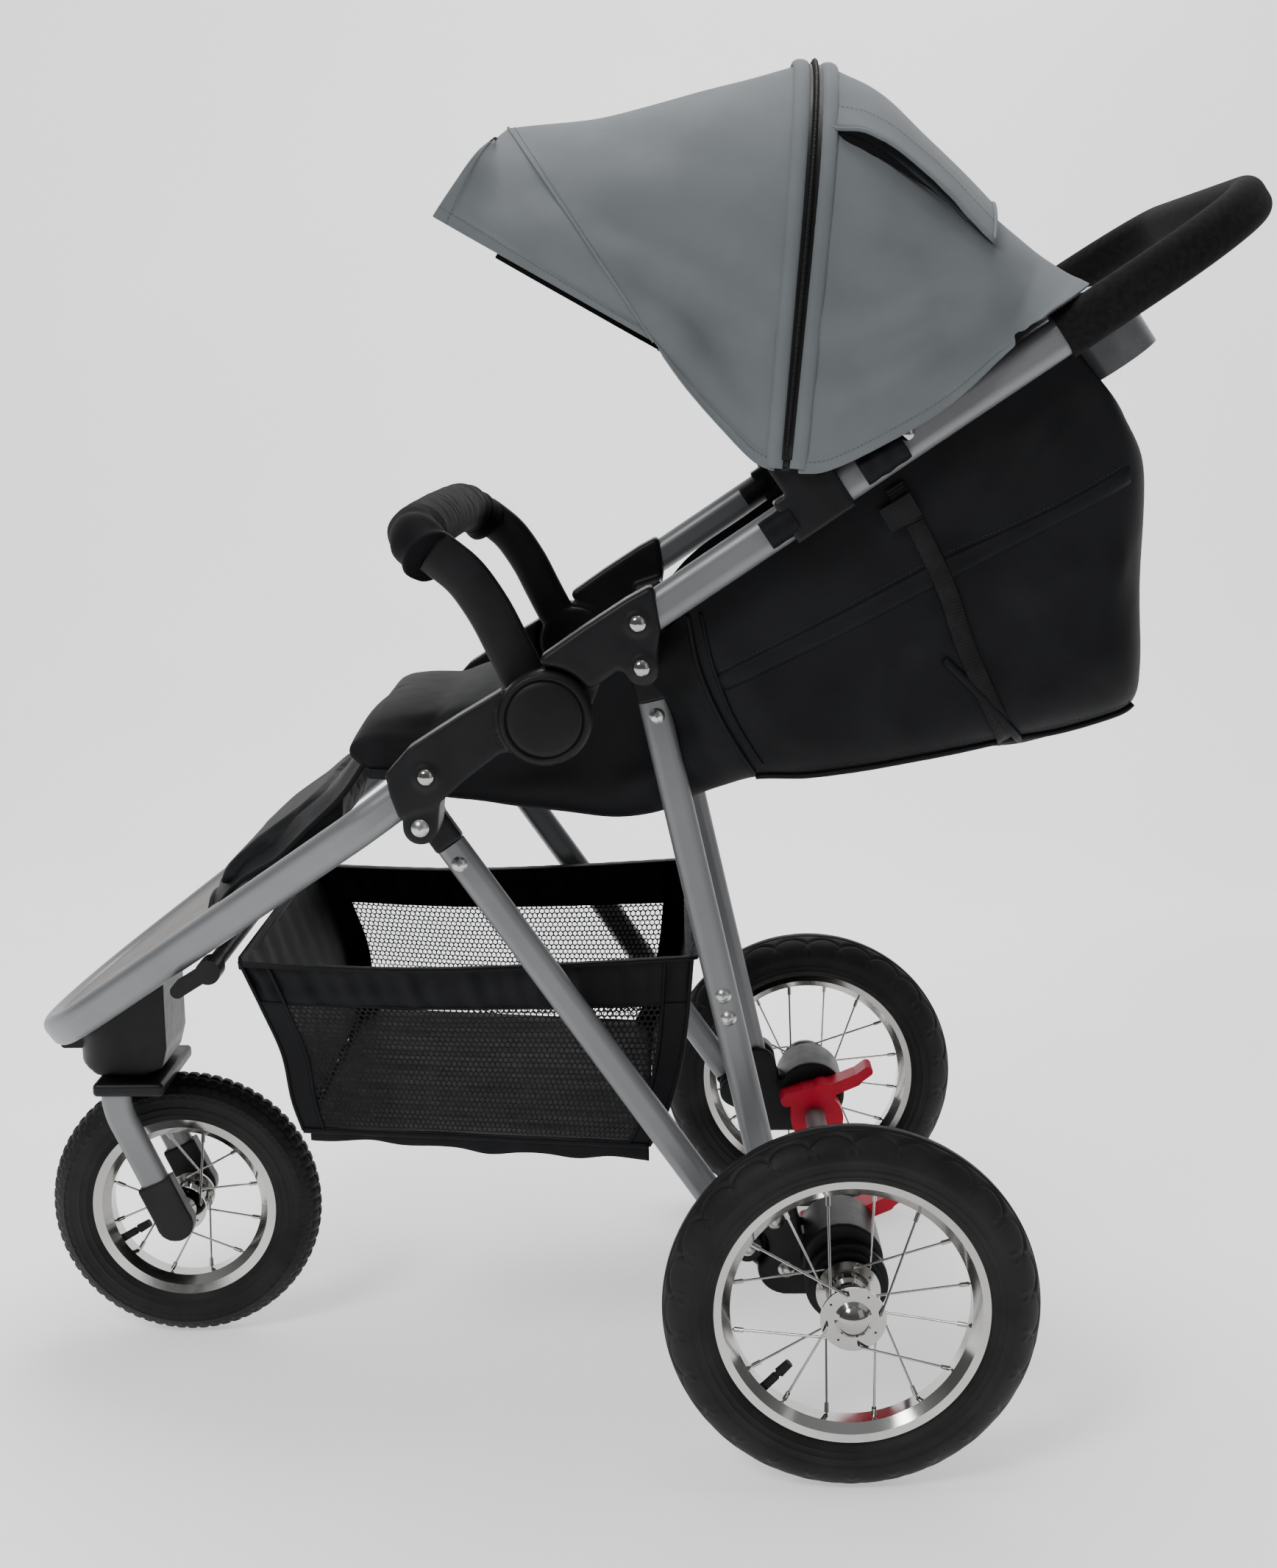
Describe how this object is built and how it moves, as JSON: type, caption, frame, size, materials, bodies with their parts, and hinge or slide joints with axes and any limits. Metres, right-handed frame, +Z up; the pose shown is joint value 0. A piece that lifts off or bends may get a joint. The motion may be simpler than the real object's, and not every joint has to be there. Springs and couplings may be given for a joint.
{
  "type": "jogging stroller",
  "caption": "Three-wheel folding jogging stroller with swivelling front wheel, canopy, reclining seat, bumper bar, parent tray, foot brakes and under-seat basket.",
  "frame": {"origin": "on the floor, under the middle of the stroller's overall length and width", "axes": "+Z up; +X to the rear, towards the push handle, so it rolls along -X; +Y towards its right-hand side"},
  "size_m": [1.051, 0.6624, 1.1442],
  "materials": {
    "tube_metal": "satin lacquer",
    "black_plastic": "fine moulded grain",
    "black_gloss": "semi gloss",
    "seat_panel": "plain board",
    "red_plastic": "semi gloss",
    "tyre": "dusty matte",
    "chrome": "polished",
    "steel": "zinc plated",
    "rubber": "matte",
    "foam": "closed cell foam",
    "footrest_plate": "matte",
    "tray_plastic": "smoky matte",
    "black_fabric": "woven polyester",
    "webbing": "ribbed webbing",
    "canopy_fabric": "coated woven polyester"
  },
  "bodies": {
    "rear_frame": {"rear_legs": "tube_metal", "rear_leg_caps": "black_plastic", "rear_brackets": "black_plastic", "axle_tube": "tube_metal", "wheel_axles": "steel", "drum_covers": "black_plastic", "rear_bolts": "steel"},
    "brake_left": {"brake_pedal_left": "red_plastic"},
    "brake_right": {"brake_pedal_right": "red_plastic"},
    "wheel_left": {"rear_tyre_left": "tyre", "rear_rim_left": "chrome", "rear_spokes_left": "chrome", "rear_hub_left": "chrome", "rear_valve_left": "rubber"},
    "wheel_right": {"rear_tyre_right": "tyre", "rear_rim_right": "chrome", "rear_spokes_right": "chrome", "rear_hub_right": "chrome", "rear_valve_right": "rubber"},
    "front_leg_pair": {"front_legs": "tube_metal", "front_leg_caps": "black_plastic", "front_leg_bolts": "steel"},
    "front_frame": {"front_tube": "tube_metal", "lower_housings": "black_plastic", "pivot_pins": "steel", "hub_caps": "black_gloss", "footrest": "footrest_plate", "fork_housing": "black_plastic", "basket_mount": "black_plastic", "basket": "black_fabric", "seat_board": "seat_panel", "seat_pad": "black_fabric", "calf_rest": "black_fabric", "lap_belt": "webbing", "buckle": "black_plastic"},
    "release_button": {"buckle_button": "red_plastic"},
    "caster": {"fork": "tube_metal", "dropout_covers": "black_plastic", "front_axle_bolt": "steel"},
    "front_wheel": {"front_tyre": "tyre", "front_rim": "chrome", "front_spokes": "chrome", "front_hub": "chrome", "front_valve": "rubber"},
    "lock_lever": {"swivel_lock": "black_plastic"},
    "handle_frame": {"handle_tube": "tube_metal", "handle_grip": "foam", "upper_housings": "black_plastic", "canopy_joints": "black_plastic", "recline_straps": "webbing", "strap_sliders": "black_plastic", "parent_tray": "tray_plastic", "seat_tub": "black_fabric", "canopy_rear": "canopy_fabric"},
    "visor": {"canopy_front_bow": "black_plastic", "canopy_front": "canopy_fabric"},
    "middle_bow": {"canopy_mid_bow": "black_plastic"},
    "bumper": {"bumper_bar": "black_plastic", "bumper_sleeve": "foam"},
    "back_rest": {"seat_back": "black_fabric"}
  },
  "joints": [
    {"name": "front_leg_pivot", "type": "hinge", "parent": "rear_frame", "child": "front_leg_pair", "pos_m": [0.109, 0, 0.167], "axis": [0, 1, 0], "range_deg": [0, 14.5]},
    {"name": "lower_leg_pivot", "type": "hinge", "parent": "front_leg_pair", "child": "front_frame", "pos_m": [-0.1445, 0, 0.533], "axis": [0, -1, 0], "range_deg": [0, 57]},
    {"name": "frame_fold", "type": "hinge", "parent": "front_frame", "child": "handle_frame", "pos_m": [-0.046, 0, 0.618], "axis": [0, 1, 0], "range_deg": [0, 114], "deforming": ["basket", "seat_tub", "recline_straps"]},
    {"name": "rear_wheel_left_spin", "type": "hinge", "parent": "rear_frame", "child": "wheel_left", "pos_m": [0.188, -0.295, 0.15], "axis": [0, 1, 0], "continuous": true},
    {"name": "rear_wheel_right_spin", "type": "hinge", "parent": "rear_frame", "child": "wheel_right", "pos_m": [0.188, 0.295, 0.15], "axis": [0, 1, 0], "continuous": true},
    {"name": "brake_left_press", "type": "hinge", "parent": "rear_frame", "child": "brake_left", "pos_m": [0.188, -0.162, 0.15], "axis": [0, 1, 0], "range_deg": [0, 15]},
    {"name": "brake_right_press", "type": "hinge", "parent": "rear_frame", "child": "brake_right", "pos_m": [0.188, 0.162, 0.15], "axis": [0, 1, 0], "range_deg": [0, 15]},
    {"name": "caster_swivel", "type": "hinge", "parent": "front_frame", "child": "caster", "pos_m": [-0.44, 0, 0.276], "axis": [0, 0, 1], "continuous": true},
    {"name": "front_wheel_spin", "type": "hinge", "parent": "caster", "child": "front_wheel", "pos_m": [-0.405, 0, 0.125], "axis": [0, 1, 0], "continuous": true},
    {"name": "swivel_lock_lever", "type": "hinge", "parent": "front_frame", "child": "lock_lever", "pos_m": [-0.486, 0, 0.281], "axis": [0, -1, 0], "range_deg": [0, 30]},
    {"name": "seat_recline", "type": "hinge", "parent": "front_frame", "child": "back_rest", "pos_m": [0.062, 0, 0.576], "axis": [0, -1, 0], "range_deg": [0, 45]},
    {"name": "bumper_swing", "type": "hinge", "parent": "front_frame", "child": "bumper", "pos_m": [-0.046, 0, 0.618], "axis": [0, -1, 0], "range_deg": [0, 25]},
    {"name": "canopy_front_fold", "type": "hinge", "parent": "handle_frame", "child": "visor", "pos_m": [0.138, 0, 0.812], "axis": [0, 1, 0], "range_deg": [0, 84], "deforming": ["canopy_front"]},
    {"name": "canopy_mid_fold", "type": "hinge", "parent": "handle_frame", "child": "middle_bow", "pos_m": [0.138, 0, 0.812], "axis": [0, 1, 0], "range_deg": [0, 42], "deforming": ["canopy_rear"]},
    {"name": "buckle_press", "type": "slide", "parent": "front_frame", "child": "release_button", "axis": [-0.2011, 0, -0.9796], "range_m": [0, 0.003], "stiffness_N_per_m": 300, "springref_m": -0.001}
  ],
  "couplings": [
    {"joint": "front_leg_pivot", "follows": "frame_fold", "ratio": 0.12653},
    {"joint": "lower_leg_pivot", "follows": "frame_fold", "ratio": 0.49992},
    {"joint": "canopy_mid_fold", "follows": "canopy_front_fold", "ratio": 0.5}
  ]
}
